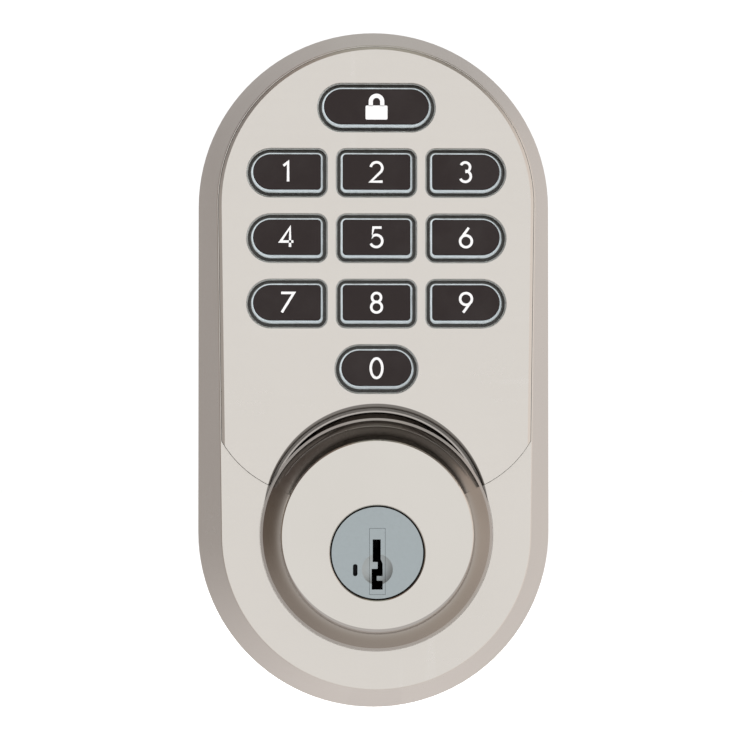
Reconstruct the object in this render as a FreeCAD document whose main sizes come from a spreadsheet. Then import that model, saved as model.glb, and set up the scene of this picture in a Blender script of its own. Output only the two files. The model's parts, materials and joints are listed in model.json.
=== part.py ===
import FreeCAD, Part
import math
import os
import re
import Sketcher
from FreeCAD import Placement, Rotation, Vector

# The outside half of a keypad deadbolt, as it comes off the door.
# +Z is up, the front faces -Y, and the origin is where the key plug's axis meets the door.
# A depth is a distance in front of the door, measured towards -Y.

SIZES = {
    # Housing: a capsule at the door that narrows to the front.
    "body_width": 65.0,
    "body_height": 125.2,
    "body_depth": 20.0,
    "axis_drop": 32.5,
    "top_inset": 4.2,
    "bottom_inset": 5.05,
    "top_fall": 1.05,
    "bottom_rise": 0.4,
    "wall": 2.2,
    "front_wall": 2.8,
    "rim_round": 0.2,
    # Keypad panel, a raised cover let into the front of the housing.
    "panel_recess": 2.0,
    "panel_proud": 0.6,
    "panel_lip": 0.2,
    "panel_gap": 0.12,
    "panel_round": 0.45,
    "seal_thickness": 0.4,
    "seal_margin": 0.5,
    "corner_radius": 19.6,
    "corner_inset": 16.95,
    "corner_z": 29.2,
    "arch_rise": 2.5,
    "arch_trim": 0.7,
    # Keys.
    "column_pitch": 15.88,
    "row_pitch": 11.61,
    "zero_row_z": 32.2,
    "key_width": 12.79,
    "key_height": 7.15,
    "lock_key_width": 19.44,
    "zero_key_width": 13.24,
    "key_corner": 1.0,
    "key_clearance": 0.55,
    "key_recess": 0.3,
    "key_travel": 0.9,
    "key_flange": 0.95,
    "flange_thickness": 0.8,
    "flange_gap": 0.1,
    "bezel_side": 0.42,
    "bezel_top": 0.3,
    "bezel_bottom": 0.6,
    "bezel_rise": 0.35,
    "face_rise": 0.2,
    "face_thickness": 0.75,
    "face_gap": 0.04,
    "face_corner": 0.6,
    "window_margin": 0.5,
    "aperture_chamfer": 0.3,
    # Keypad electronics behind the panel.
    "module_edge_gap": 0.9,
    "module_bottom": 26.0,
    "module_corner": 2.0,
    "membrane_thickness": 2.0,
    "membrane_gap": 0.1,
    "dome_radius": 2.6,
    "dome_depth": 0.8,
    "contact_radius": 1.9,
    "contact_height": 0.25,
    "board_thickness": 1.6,
    "tray_thickness": 2.4,
    "tray_opening_width": 30.0,
    "tray_opening_height": 34.0,
    "tray_opening_z": 54.0,
    "led_size": 1.6,
    "led_height": 0.7,
    "boss_x": 16.0,
    "boss_upper_z": 77.0,
    "boss_lower_z": 33.5,
    "boss_radius": 2.1,
    "boss_gap": 0.15,
    "module_screw_radius": 1.2,
    "header_width": 12.5,
    "header_height": 4.5,
    "header_depth": 5.5,
    "header_wall": 0.7,
    "header_z": 41.0,
    "chip_size": 9.0,
    "chip_thickness": 1.2,
    "chip_z": 51.0,
    "buzzer_radius": 5.0,
    "buzzer_depth": 4.0,
    "buzzer_z": 63.0,
    "buzzer_port_radius": 1.0,
    "buzzer_port_depth": 1.0,
    # Guard collar round the cylinder.
    "guard_z": 2.9,
    "guard_base_radius": 20.6,
    "guard_face_radius": 16.65,
    "guard_face_depth": 27.0,
    "guard_seat": 0.5,
    "guard_lip": 0.7,
    "guard_bead": 0.45,
    "guard_bead_rise": 0.15,
    "guard_gap": 0.15,
    "guard_hollow": 0.45,
    "guard_round": 0.5,
    "guard_front_wall": 2.3,
    "guard_fit": 0.1,
    "neck_radius": 18.9,
    "neck_gap": 0.1,
    "skirt_gap": 0.45,
    "skirt_rim": 0.3,
    "skirt_thickness": 0.35,
    "skirt_top": 1.6,
    "skirt_top_radius": 19.2,
    "skirt_hole": 16.0,
    # Lock cylinder.
    "cylinder_radius": 13.8,
    "cylinder_back": 3.0,
    "cylinder_flange_radius": 20.2,
    "cylinder_flange_thickness": 2.2,
    "cylinder_screw_circle": 16.75,
    "cylinder_screw_radius": 1.3,
    "cylinder_screw_length": 6.2,
    # Key plug.
    "plug_radius": 8.0,
    "plug_gap": 0.06,
    "plug_window_gap": 0.3,
    "plug_recess": 0.3,
    "plug_back": 1.9,
    "dimple_radius": 2.8,
    "dimple_z": -2.9,
    "dimple_depth": 0.35,
    "insert_width": 2.8,
    "insert_top": 4.3,
    "insert_bottom": -7.3,
    "insert_thickness": 1.5,
    "keyway_top": 2.35,
    "keyway_bottom": -6.4,
    "keyway_end": 5.6,
    "rack_margin": 0.12,
    "keyway_left": -0.82,
    "keyway_right": 0.58,
    "keyway_foot_left": -1.0,
    "keyway_foot_right": 0.92,
    "keyway_step_top": -1.1,
    "keyway_step_bottom": -1.9,
    "left_ward_tip": 0.05,
    "left_ward_top": -1.6,
    "left_ward_bottom": -2.8,
    "right_ward_tip": -0.1,
    "right_ward_top": -4.05,
    "right_ward_bottom": -4.85,
    "tool_slot_x": -3.87,
    "tool_slot_z": -3.0,
    "tool_slot_width": 0.8,
    "tool_slot_height": 2.1,
    "tool_slot_depth": 3.6,
    "pin_count": 5,
    "pin_pitch": 3.6,
    "first_pin": 21.4,
    "pin_radius": 1.1,
    "pin_length": 2.4,
    "pin_gap": 0.05,
    "pin_spring_length": 2.2,
    "spring_wire": 0.2,
    "spring_turns": 3,
    "cover_thickness": 0.6,
    "cover_width": 3.0,
    "overcut": 1.0,
    "rack_x": -4.9,
    "rack_width": 2.4,
    "rack_bottom": -2.6,
    "rack_top": 4.0,
    "rack_thickness": 1.4,
    "sidebar_floor": 5.1,
    "sidebar_z": 0.8,
    "sidebar_height": 2.0,
    "sidebar_gap": 0.05,
    "sidebar_front": 24.4,
    "sidebar_back": 4.4,
    "sidebar_spring_inset": 0.9,
    "sidebar_slack": 0.3,
    "sidebar_spring_length": 1.5,
    "clip_groove_radius": 6.8,
    "clip_radius": 9.8,
    "clip_thickness": 0.8,
    "clip_play": 0.05,
    "clip_opening": 9.0,
    "blade_width": 6.6,
    "blade_thickness": 2.2,
    "blade_reach": 46.0,
    "blade_seat": 5.0,
    # Back of the lock.
    "gasket_thickness": 0.8,
    "plate_thickness": 1.4,
    "plate_gap": 0.25,
    "plate_hole": 10.6,
    "post_spacing": 38.1,
    "post_radius": 4.0,
    "post_reach": 6.0,
    "post_tap_radius": 2.1,
    "post_spigot_radius": 3.0,
    "post_rivet_radius": 3.6,
    "post_rivet_height": 1.0,
    "post_blind": 1.0,
    "cable_z": 20.5,
    "cable_radius": 2.8,
    "grommet_radius": 4.0,
    "grommet_flange": 5.0,
    "grommet_lip": 0.6,
    "plate_boss_radius": 2.8,
    "plate_boss_length": 7.0,
    "plate_boss_reach": 27.0,
    "upper_boss_angle": 54.0,
    "lower_boss_angle": -42.0,
    "plate_screw_radius": 1.2,
    "plate_screw_length": 5.5,
    # Screw heads and their cross recess.
    "head_radius": 2.3,
    "head_height": 1.3,
    "sunk_head_height": 0.7,
    "recess_length": 2.6,
    "recess_width": 0.6,
    "recess_depth": 0.5,
}

doc = FreeCAD.newDocument("keypad_lock")
sheet = doc.addObject("Spreadsheet::Sheet", "Sizes")
for row, (word, number) in enumerate(SIZES.items(), start=1):
    sheet.set(f"A{row}", word)
    sheet.set(f"B{row}", str(number))
    sheet.setAlias(f"B{row}", word)
doc.recompute()

parts = []

# Places worked out from the sizes.
FRONT = "body_depth"
TOP_Z = "(axis_drop + (body_height - body_width) / 2)"
LOW_Z = "(axis_drop - (body_height - body_width) / 2)"
FRONT_TOP_Z = f"({TOP_Z} - top_fall)"
FRONT_LOW_Z = f"({LOW_Z} + bottom_rise)"
CAVITY = "(body_depth - front_wall)"
PANEL_FLOOR = "(body_depth - panel_recess)"
PANEL_BACK = "(body_depth - panel_recess + seal_thickness)"
PANEL_FRONT = "(body_depth + panel_proud)"
CORNER_X = "(body_width / 2 - bottom_inset - corner_inset)"
ARCH_Z = "(guard_z + arch_rise)"
ARCH_RADIUS = "(guard_base_radius - arch_trim)"
SKIRT_RADIUS = "(guard_base_radius - arch_trim - skirt_gap)"
SKIRT_CHORD = (f"(guard_z + (guard_base_radius ^ 2 - {SKIRT_RADIUS} ^ 2) / (2 * arch_rise)"
               " + arch_rise / 2)")
SKIRT_FOOT = "(body_depth - panel_recess + guard_gap)"
SKIRT_BASE = "(body_depth - panel_recess + guard_gap + skirt_thickness)"
RING_FRONT = "(body_depth + panel_proud - key_recess)"
FLANGE_FRONT = "(body_depth - panel_recess + seal_thickness - flange_gap)"
FLANGE_BACK = "(body_depth - panel_recess + seal_thickness - flange_gap - flange_thickness)"
MEMBRANE_FLOOR = f"({FLANGE_BACK} - key_travel - membrane_gap)"
MEMBRANE_BACK = "(body_depth - front_wall - membrane_thickness)"
BOARD_BACK = "(body_depth - front_wall - membrane_thickness - board_thickness)"
TRAY_BACK = f"({BOARD_BACK} - tray_thickness)"
CYLINDER_FRONT = "(guard_face_depth - guard_front_wall - guard_fit)"
PLUG_FRONT = "(guard_face_depth - plug_recess)"
SPRING_FOOT = "(keyway_top + pin_length)"
COVER_FOOT = "(keyway_top + pin_length + pin_spring_length)"
PLATE_FRONT = "(gasket_thickness + plate_thickness)"


# ---------------------------------------------------------------- helpers
def linked(expression):
    """The expression with each size pointed at its cell."""
    return re.sub(r"[a-z_]+", lambda m: "Sizes." + m.group() if m.group() in SIZES else m.group(),
                  expression)


def size(expression):
    """The expression's number now."""
    value = sheet.evalExpression(expression)
    return float(getattr(value, "Value", value))


def bind(thing, path, expression):
    thing.setExpression(path, linked(expression))


def keep(thing, label):
    """Name a finished sub-part, which names its file."""
    thing.Label = label
    parts.append(thing)
    return thing


def new_body(label):
    return keep(doc.addObject("PartDesign::Body", label), label)


def new_sketch(body, name, depth="0", role="XZ_Plane"):
    """A sketch across the lock, `depth` in front of the door, or on another origin plane."""
    sketch = body.newObject("Sketcher::SketchObject", f"{body.Name}_{name}")
    plane = next(f for f in body.Origin.OriginFeatures if f.Role == role)
    sketch.AttachmentSupport = [(plane, "")]
    sketch.MapMode = "FlatFace"
    bind(sketch, "AttachmentOffset.Base.z", depth)
    return sketch


def drive(sketch, constraint, expression):
    index = sketch.addConstraint(constraint)
    sketch.setExpression(f"Constraints[{index}]", linked(expression))


def fix_point(sketch, item, end, x, z):
    """Hold a point at x, z, or on an axis where a distance is none."""
    for kind, axis, expression in (("DistanceX", -2, x), ("DistanceY", -1, z)):
        if expression == "0":
            sketch.addConstraint(Sketcher.Constraint("PointOnObject", item, end, axis))
        else:
            drive(sketch, Sketcher.Constraint(kind, -1, 1, item, end, size(expression)), expression)


def add_arc(sketch, x, z, radius, start, end):
    circle = Part.Circle(Vector(x, z, 0), Vector(0, 0, 1), radius)
    return sketch.addGeometry(Part.ArcOfCircle(circle, start, end))


def add_line(sketch, start, end):
    return sketch.addGeometry(Part.LineSegment(Vector(*start, 0), Vector(*end, 0)))


def circle(sketch, x, z, radius):
    item = sketch.addGeometry(Part.Circle(Vector(size(x), size(z), 0), Vector(0, 0, 1), size(radius)))
    drive(sketch, Sketcher.Constraint("Radius", item, size(radius)), radius)
    fix_point(sketch, item, 3, x, z)


def on_circle(x, z, radius, angle):
    return x + radius * math.cos(angle), z + radius * math.sin(angle)


def lean(top_radius, low_radius, top_z, low_z):
    """How far the straight sides between two ends lean from upright, in radians."""
    return math.asin((top_radius - low_radius) / (top_z - low_z))


def capsule(sketch, top_radius, low_radius, top_z, low_z):
    """Two round ends joined by the straight sides that touch both."""
    rt, rl, zt, zl = (size(e) for e in (top_radius, low_radius, top_z, low_z))
    tilt = lean(rt, rl, zt, zl)
    top = add_arc(sketch, 0, zt, rt, -tilt, math.pi + tilt)
    left = add_line(sketch, on_circle(0, zt, rt, math.pi + tilt), on_circle(0, zl, rl, math.pi + tilt))
    low = add_arc(sketch, 0, zl, rl, math.pi + tilt, 2 * math.pi - tilt)
    right = add_line(sketch, on_circle(0, zl, rl, -tilt), on_circle(0, zt, rt, -tilt))
    sides = [top, left, low, right]
    for one, other in zip(sides, sides[1:] + sides[:1]):
        sketch.addConstraint(Sketcher.Constraint("Tangent", one, 2, other, 1))
    for item, radius, z in ((top, top_radius, top_z), (low, low_radius, low_z)):
        drive(sketch, Sketcher.Constraint("Radius", item, size(radius)), radius)
        fix_point(sketch, item, 3, "0", z)


def rounded(sketch, x, z, width, height, corners, round_ends=""):
    """A rounded oblong; `round_ends` names the ends (left, right, top) that are half circles."""
    edge = {"left": f"({x}) - ({width}) / 2", "right": f"({x}) + ({width}) / 2",
            "low": f"({z}) - ({height}) / 2", "high": f"({z}) + ({height}) / 2"}
    half = f"({width}) / 2" if "top" in round_ends else f"({height}) / 2"

    def inner(side, by):
        return f"{edge[side]} {'+' if side in ('left', 'low') else '-'} ({by})"

    # Each arc is its centre, radius, first angle and sweep in quarter turns, from the lower right.
    arcs = []
    if "right" in round_ends:
        arcs.append((inner("right", half), z, half, -1, 2))
    else:
        arcs.append((inner("right", corners), inner("low", corners), corners, -1, 1))
        if "top" not in round_ends:
            arcs.append((inner("right", corners), inner("high", corners), corners, 0, 1))
    if "top" in round_ends:
        arcs.append((x, inner("high", half), half, 0, 2))
    if "left" in round_ends:
        arcs.append((inner("left", half), z, half, 1, 2))
    else:
        if "top" not in round_ends:
            arcs.append((inner("left", corners), inner("high", corners), corners, 1, 1))
        arcs.append((inner("left", corners), inner("low", corners), corners, 2, 1))
    quarter = math.pi / 2
    bends = [add_arc(sketch, size(ax), size(az), size(radius), first * quarter, (first + sweep) * quarter)
             for ax, az, radius, first, sweep in arcs]
    for number, bend in enumerate(bends):
        after = bends[(number + 1) % len(bends)]
        start, end = sketch.getPoint(bend, 2), sketch.getPoint(after, 1)
        side = add_line(sketch, (start.x, start.y), (end.x, end.y))
        sketch.addConstraint(Sketcher.Constraint("Tangent", bend, 2, side, 1))
        sketch.addConstraint(Sketcher.Constraint("Tangent", side, 2, after, 1))
    for bend, (ax, az, radius, _, _) in zip(bends, arcs):
        drive(sketch, Sketcher.Constraint("Radius", bend, size(radius)), radius)
        fix_point(sketch, bend, 3, ax, az)


def polygon(sketch, points):
    """A closed outline of straight sides, each corner an (x, z) pair of expressions."""
    corners = [(size(x), size(z)) for x, z in points]
    items = [add_line(sketch, a, b) for a, b in zip(corners, corners[1:] + corners[:1])]
    for one, other in zip(items, items[1:] + items[:1]):
        sketch.addConstraint(Sketcher.Constraint("Coincident", one, 2, other, 1))
    for item, (x, z) in zip(items, points):
        fix_point(sketch, item, 1, x, z)


def segment(sketch, z, radius, chord):
    """The part of a circle centred at 0, z that lies above a level chord."""
    cz, r, low = (size(e) for e in (z, radius, chord))
    turn = math.asin((low - cz) / r)
    bow = add_arc(sketch, 0, cz, r, turn, math.pi - turn)
    flat = add_line(sketch, on_circle(0, cz, r, math.pi - turn), on_circle(0, cz, r, turn))
    sketch.addConstraint(Sketcher.Constraint("Coincident", bow, 2, flat, 1))
    sketch.addConstraint(Sketcher.Constraint("Coincident", flat, 2, bow, 1))
    sketch.addConstraint(Sketcher.Constraint("Horizontal", flat))
    drive(sketch, Sketcher.Constraint("Radius", bow, r), radius)
    fix_point(sketch, bow, 3, "0", z)
    drive(sketch, Sketcher.Constraint("DistanceY", -1, 1, flat, 1, low), chord)


def crossing(x, z, radius, slope, foot, side):
    """Where the line x = foot + slope * z meets a circle, on the lower (-1) or upper (+1) side."""
    a = 1 + slope ** 2
    b = slope * (foot - x) - z
    c = (foot - x) ** 2 + z ** 2 - radius ** 2
    zc = (-b + side * math.sqrt(b * b - a * c)) / a
    return foot + slope * zc, zc


def meeting(x1, z1, r1, x2, z2, r2):
    """The outer point, to the right, where two circles meet."""
    dx, dz = x2 - x1, z2 - z1
    apart = math.hypot(dx, dz)
    along = (r1 ** 2 - r2 ** 2 + apart ** 2) / (2 * apart)
    aside = math.sqrt(r1 ** 2 - along ** 2)
    mid = x1 + along * dx / apart, z1 + along * dz / apart
    both = [(mid[0] + s * aside * dz / apart, mid[1] - s * aside * dx / apart) for s in (1, -1)]
    return max(both)


def angle_of(x, z, point):
    return math.atan2(point[1] - z, point[0] - x)


def mirrored(point):
    return -point[0], point[1]


def panel_outline(sketch, inset, arch_radius, arch_z, drop):
    """The panel's outline: the front's own edge drawn in, a round corner each side, and an arch."""
    top_radius = f"(body_width / 2 - top_inset - {inset})"
    low_radius = f"(body_width / 2 - bottom_inset - {inset})"
    corner = f"(corner_radius - {drop})"
    rt, rl, zt, zl = (size(e) for e in (top_radius, low_radius, FRONT_TOP_Z, FRONT_LOW_Z))
    cx, cz, cr, ar, az = (size(e) for e in (CORNER_X, "corner_z", corner, arch_radius, arch_z))
    tilt = lean(rt, rl, zt, zl)
    top_end = on_circle(0, zt, rt, -tilt)
    slope = math.tan(tilt)
    side_end = crossing(cx, cz, cr, slope, top_end[0] - slope * top_end[1], -1)
    arch_end = meeting(cx, cz, cr, 0, az, ar)
    top = add_arc(sketch, 0, zt, rt, -tilt, math.pi + tilt)
    left = add_line(sketch, mirrored(top_end), mirrored(side_end))
    left_corner = add_arc(sketch, -cx, cz, cr, angle_of(-cx, cz, mirrored(side_end)) % (2 * math.pi),
                          angle_of(-cx, cz, mirrored(arch_end)) % (2 * math.pi))
    arch = add_arc(sketch, 0, az, ar, angle_of(0, az, arch_end),
                   angle_of(0, az, mirrored(arch_end)) % (2 * math.pi))
    right_corner = add_arc(sketch, cx, cz, cr, angle_of(cx, cz, arch_end), angle_of(cx, cz, side_end))
    right = add_line(sketch, side_end, top_end)
    sketch.addConstraint(Sketcher.Constraint("Tangent", top, 2, left, 1))
    sketch.addConstraint(Sketcher.Constraint("Tangent", right, 2, top, 1))
    for one, end, other, start in ((left, 2, left_corner, 1), (left_corner, 2, arch, 2),
                                   (arch, 1, right_corner, 1), (right_corner, 2, right, 1)):
        sketch.addConstraint(Sketcher.Constraint("Coincident", one, end, other, start))
    for item, radius, x, z in ((top, top_radius, "0", FRONT_TOP_Z), (arch, arch_radius, "0", arch_z),
                               (left_corner, corner, f"-{CORNER_X}", "corner_z"),
                               (right_corner, corner, CORNER_X, "corner_z")):
        drive(sketch, Sketcher.Constraint("Radius", item, size(radius)), radius)
        fix_point(sketch, item, 3, x, z)
    turn = f"asin((bottom_inset - top_inset) / ({FRONT_TOP_Z} - {FRONT_LOW_Z}))"
    drive(sketch, Sketcher.Constraint("Angle", right, math.pi / 2 - tilt), f"90 deg - {turn}")
    drive(sketch, Sketcher.Constraint("Angle", left, -math.pi / 2 + tilt), f"-90 deg + {turn}")


def feature(body, kind, sketch, label, **numbers):
    made = body.newObject(f"PartDesign::{kind}", f"{body.Name}_{label}")
    made.Profile = sketch
    sketch.Visibility = False
    for name, expression in numbers.items():
        bind(made, name, expression)
    return made


def pad(body, sketch, label, length, inward=False):
    """Thicken a sketch towards the front, or towards the door."""
    made = feature(body, "Pad", sketch, label, Length=length)
    made.Reversed = inward
    doc.recompute()
    return made


def cut(body, sketch, label, length, forward=False):
    """Cut a sketch's area away towards the door, or towards the front."""
    before = body.Shape.Volume
    made = feature(body, "Pocket", sketch, label, Length=length)
    made.Reversed = forward
    doc.recompute()
    if "Invalid" in made.State or body.Shape.Volume >= before - 1e-6:
        raise ValueError(f"{made.Name} cuts nothing: {made.State}")
    return made


def edges_at(shape, depth, test=lambda edge: True):
    """Names of the edges that lie wholly at one depth and pass a test."""
    names = []
    for number, edge in enumerate(shape.Edges, start=1):
        box = edge.BoundBox
        if abs(box.YMin + depth) < 1e-4 and abs(box.YMax + depth) < 1e-4 and test(edge):
            names.append(f"Edge{number}")
    return names


def dress(body, kind, names, amount):
    """Round or chamfer edges of the body's tip."""
    base = body.Tip
    made = body.newObject(f"PartDesign::{kind}", f"{body.Name}_{kind}")
    made.Base = (base, names)
    bind(made, "Radius" if kind == "Fillet" else "Size", amount)
    doc.recompute()
    return made


def loft(body, kind, low, high):
    made = body.newObject(f"PartDesign::{kind}", f"{body.Name}_{kind}")
    made.Profile = low
    made.Sections = [high]
    made.Ruled = True
    doc.recompute()
    return made


def plate(label, outline, depth, thickness):
    """A body padded from one outline, with its back at `depth`."""
    body = new_body(label)
    sketch = new_sketch(body, "outline", depth)
    outline(sketch)
    pad(body, sketch, "pad", thickness)
    return body


def primitive(kind, name, x, depth, z, turn=None, **numbers):
    """A Part primitive at x, z whose own origin is `depth` in front of the door."""
    made = doc.addObject(f"Part::{kind}", name)
    made.Placement = Placement(Vector(size(x), -size(depth), size(z)), turn or Rotation())
    for axis, expression in (("x", x), ("y", f"-({depth})"), ("z", z)):
        bind(made, f"Placement.Base.{axis}", expression)
    for prop, expression in numbers.items():
        bind(made, prop, expression)
    return made


FORWARD = Rotation(Vector(1, 0, 0), 90)      # turns a primitive's +Z to face the front
BACKWARD = Rotation(Vector(1, 0, 0), -90)    # turns a primitive's +Z to face the door


def rod(name, x, z, depth, radius, length):
    """A round bar from `depth` forward."""
    return primitive("Cylinder", name, x, depth, z, FORWARD, Radius=radius, Height=length)


def block(name, x, z, depth, width, height, length):
    """A box centred on x, z, from `depth` forward."""
    return primitive("Box", name, f"({x}) - ({width}) / 2", f"({depth}) + ({length})",
                     f"({z}) - ({height}) / 2", None, Length=width, Width=length, Height=height)


def fuse(name, *pieces):
    made = doc.addObject("Part::MultiFuse", name)
    made.Shapes = list(pieces)
    return made


def cut_from(name, base, tool):
    made = doc.addObject("Part::Cut", name)
    made.Base = base
    made.Tool = tool
    return made


def group(label, pieces):
    """Identical small pieces kept as one node of separate solids."""
    made = doc.addObject("Part::Compound", label)
    made.Links = pieces
    return keep(made, label)


def screw(name, x, z, seat, radius, length, head=("head_radius", "head_height")):
    """A cross-head screw driven from the door side, its head standing back from `seat`."""
    head_radius, head_height = head
    shank = rod(f"{name}_shank", x, z, seat, radius, length)
    back = f"({seat}) - ({head_height})"
    cap = rod(f"{name}_cap", x, z, back, head_radius, head_height)
    solid = fuse(f"{name}_blank", shank, cap)
    one = block(f"{name}_slot_a", x, z, back, "recess_length", "recess_width", "recess_depth")
    two = block(f"{name}_slot_b", x, z, back, "recess_width", "recess_length", "recess_depth")
    return cut_from(name, solid, fuse(f"{name}_cross", one, two))


def coil(name, length, radius, place):
    """A compression spring along its own Z. Its wire is eight-sided, which meshes far lighter than round."""
    spine = doc.addObject("Part::Helix", f"{name}_spine")
    bind(spine, "Height", f"({length}) - 2 * spring_wire")
    bind(spine, "Pitch", f"(({length}) - 2 * spring_wire) / spring_turns")
    bind(spine, "Radius", radius)
    wire = doc.addObject("Part::RegularPolygon", f"{name}_wire")
    wire.Polygon = 8
    bind(wire, "Circumradius", "spring_wire / 2")
    wire.Placement = Placement(Vector(size(radius), 0, 0), Rotation(Vector(1, 0, 0), 90))
    bind(wire, "Placement.Base.x", radius)
    made = doc.addObject("Part::Sweep", name)
    made.Sections = [wire]
    made.Spine = (spine, ["Edge1"])
    made.Solid = True
    made.Frenet = True
    made.Placement = place
    return made


# ---------------------------------------------------------------- housing
def front_radius(end, depth, inset="0"):
    """Radius of the housing's outline at one end and depth, drawn in by an inset."""
    return f"(body_width / 2 - {end}_inset * ({depth}) / body_depth - ({inset}))"


def outline_at(sketch, depth, inset="0"):
    """The housing's outline at a depth: its two ends draw together as it narrows."""
    capsule(sketch, front_radius("top", depth, inset), front_radius("bottom", depth, inset),
            f"({TOP_Z} - top_fall * ({depth}) / body_depth)",
            f"({LOW_Z} + bottom_rise * ({depth}) / body_depth)")


def window(body, depth, length, margin, forward=False):
    """The opening behind the keys: a wide part for three columns, a narrower one at each end."""
    wide = f"2 * column_pitch + key_width + 2 * key_flange + 2 * ({margin})"
    tall = f"2 * row_pitch + key_height + 2 * key_flange + 2 * ({margin})"
    upper = f"lock_key_width + 2 * key_flange + 2 * ({margin})"
    lower = f"zero_key_width + 2 * key_flange + 2 * ({margin})"
    whole = f"4 * row_pitch + key_height + 2 * key_flange + 2 * ({margin})"
    middle = "zero_row_z + 2 * row_pitch"
    sketch = new_sketch(body, f"window_{len(body.Group)}", depth)
    half_wide, half_tall, half_whole = f"({wide}) / 2", f"({tall}) / 2", f"({whole}) / 2"
    half_upper, half_lower = f"({upper}) / 2", f"({lower}) / 2"
    polygon(sketch, [
        (f"-{half_lower}", f"{middle} - {half_whole}"), (half_lower, f"{middle} - {half_whole}"),
        (half_lower, f"{middle} - {half_tall}"), (half_wide, f"{middle} - {half_tall}"),
        (half_wide, f"{middle} + {half_tall}"), (half_upper, f"{middle} + {half_tall}"),
        (half_upper, f"{middle} + {half_whole}"), (f"-{half_upper}", f"{middle} + {half_whole}"),
        (f"-{half_upper}", f"{middle} + {half_tall}"), (f"-{half_wide}", f"{middle} + {half_tall}"),
        (f"-{half_wide}", f"{middle} - {half_tall}"), (f"-{half_lower}", f"{middle} - {half_tall}"),
    ])
    return cut(body, sketch, f"window_cut_{len(body.Group)}", length, forward)


BOSS_PLACES = [(sign + "boss_x", z) for z in ("boss_upper_z", "boss_lower_z") for sign in ("-", "")]


def boss_holes(body, depth, length, radius, forward=False):
    """Four round holes where the panel's bosses and their screws pass."""
    sketch = new_sketch(body, "boss_holes", depth)
    for x, z in BOSS_PLACES:
        circle(sketch, x, z, radius)
    return cut(body, sketch, "boss_holes_cut", length, forward)


def plate_boss_places():
    """Four screw bosses for the back plate, each on a spoke from its end's centre."""
    places = []
    for centre, angle in ((TOP_Z, "upper_boss_angle"), (LOW_Z, "lower_boss_angle")):
        for sign in ("-", ""):
            x = f"{sign}plate_boss_reach * cos({angle} * 1 deg)"
            places.append((x, f"{centre} + plate_boss_reach * sin({angle} * 1 deg)"))
    return places


housing = new_body("housing_shell")
back_outline = new_sketch(housing, "back_outline")
outline_at(back_outline, "0")
front_outline = new_sketch(housing, "front_outline", FRONT)
outline_at(front_outline, FRONT)
loft(housing, "AdditiveLoft", back_outline, front_outline)
dress(housing, "Fillet", edges_at(housing.Shape, size(FRONT)), "rim_round")
cavity_back = new_sketch(housing, "cavity_back")
outline_at(cavity_back, "0", "wall")
cavity_front = new_sketch(housing, "cavity_front", CAVITY)
outline_at(cavity_front, CAVITY, "wall")
loft(housing, "SubtractiveLoft", cavity_back, cavity_front)
boss_sketch = new_sketch(housing, "plate_bosses", PLATE_FRONT)
for boss_x, boss_z in plate_boss_places():
    circle(boss_sketch, boss_x, boss_z, "plate_boss_radius")
pad(housing, boss_sketch, "plate_bosses_pad", "plate_boss_length")
boss_drill = new_sketch(housing, "plate_boss_drill", PLATE_FRONT)
for boss_x, boss_z in plate_boss_places():
    circle(boss_drill, boss_x, boss_z, "plate_screw_radius")
cut(housing, boss_drill, "plate_boss_drill_cut", "plate_screw_length", forward=True)
recess = new_sketch(housing, "panel_recess", FRONT)
panel_outline(recess, "panel_lip", "(guard_base_radius + guard_gap)", "guard_z", "0")
cut(housing, recess, "panel_recess_cut", "panel_recess")
seat = new_sketch(housing, "guard_seat", FRONT)
circle(seat, "0", "guard_z", "guard_base_radius + guard_gap")
cut(housing, seat, "guard_seat_cut", "guard_seat")
skirt_room = new_sketch(housing, "skirt_room", FRONT)
segment(skirt_room, ARCH_Z, ARCH_RADIUS, f"{SKIRT_CHORD} - guard_gap")
cut(housing, skirt_room, "skirt_room_cut", "panel_recess")
mouth = new_sketch(housing, "guard_mouth", FRONT)
circle(mouth, "0", "guard_z", "neck_radius + neck_gap")
cut(housing, mouth, "guard_mouth_cut", "front_wall + overcut")
window(housing, FRONT, "front_wall + overcut", "window_margin")
boss_holes(housing, FRONT, "front_wall + overcut", "boss_radius + boss_gap")


# ---------------------------------------------------------------- keypad panel and keys
ROUND_ENDS = {"-": "left", "0": "", "": "right"}


def key_places():
    """Each key's name, centre, width and which ends are half circles."""
    places = [("lock", "0", "zero_row_z + 4 * row_pitch", "lock_key_width", "left right"),
              ("0", "0", "zero_row_z", "zero_key_width", "left right")]
    digit = 1
    for row in (3, 2, 1):
        for side in ("-", "0", ""):
            x = "0" if side == "0" else f"{side}column_pitch"
            places.append((str(digit), x, f"zero_row_z + {row} * row_pitch", "key_width", ROUND_ENDS[side]))
            digit += 1
    return places


def on_rim(edge):
    """Whether an edge follows the housing's outline, round the top or down a side."""
    return edge.BoundBox.ZMax > size("zero_row_z")


def on_arch(edge):
    """Whether an edge follows the arch over the guard."""
    box = edge.BoundBox
    return not on_rim(edge) and abs(box.XMin + box.XMax) < 1e-3


panel = new_body("keypad_panel")
panel_sketch = new_sketch(panel, "outline", PANEL_BACK)
panel_outline(panel_sketch, "(panel_lip + panel_gap)", ARCH_RADIUS, ARCH_Z, "panel_gap")
pad(panel, panel_sketch, "pad", f"{PANEL_FRONT} - {PANEL_BACK}")
dress(panel, "Fillet", edges_at(panel.Shape, size(PANEL_FRONT), on_arch), "panel_round")
dress(panel, "Chamfer", edges_at(panel.Shape, size(PANEL_FRONT), on_rim), "panel_round / 2")
for key, key_x, key_z, width, ends in key_places():
    aperture = new_sketch(panel, f"aperture_{key}", PANEL_FRONT)
    rounded(aperture, key_x, key_z, f"({width}) + 2 * key_clearance",
            "key_height + 2 * key_clearance", "key_corner + key_clearance", ends)
    cut(panel, aperture, f"aperture_{key}_cut", "panel_proud + panel_recess")


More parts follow.
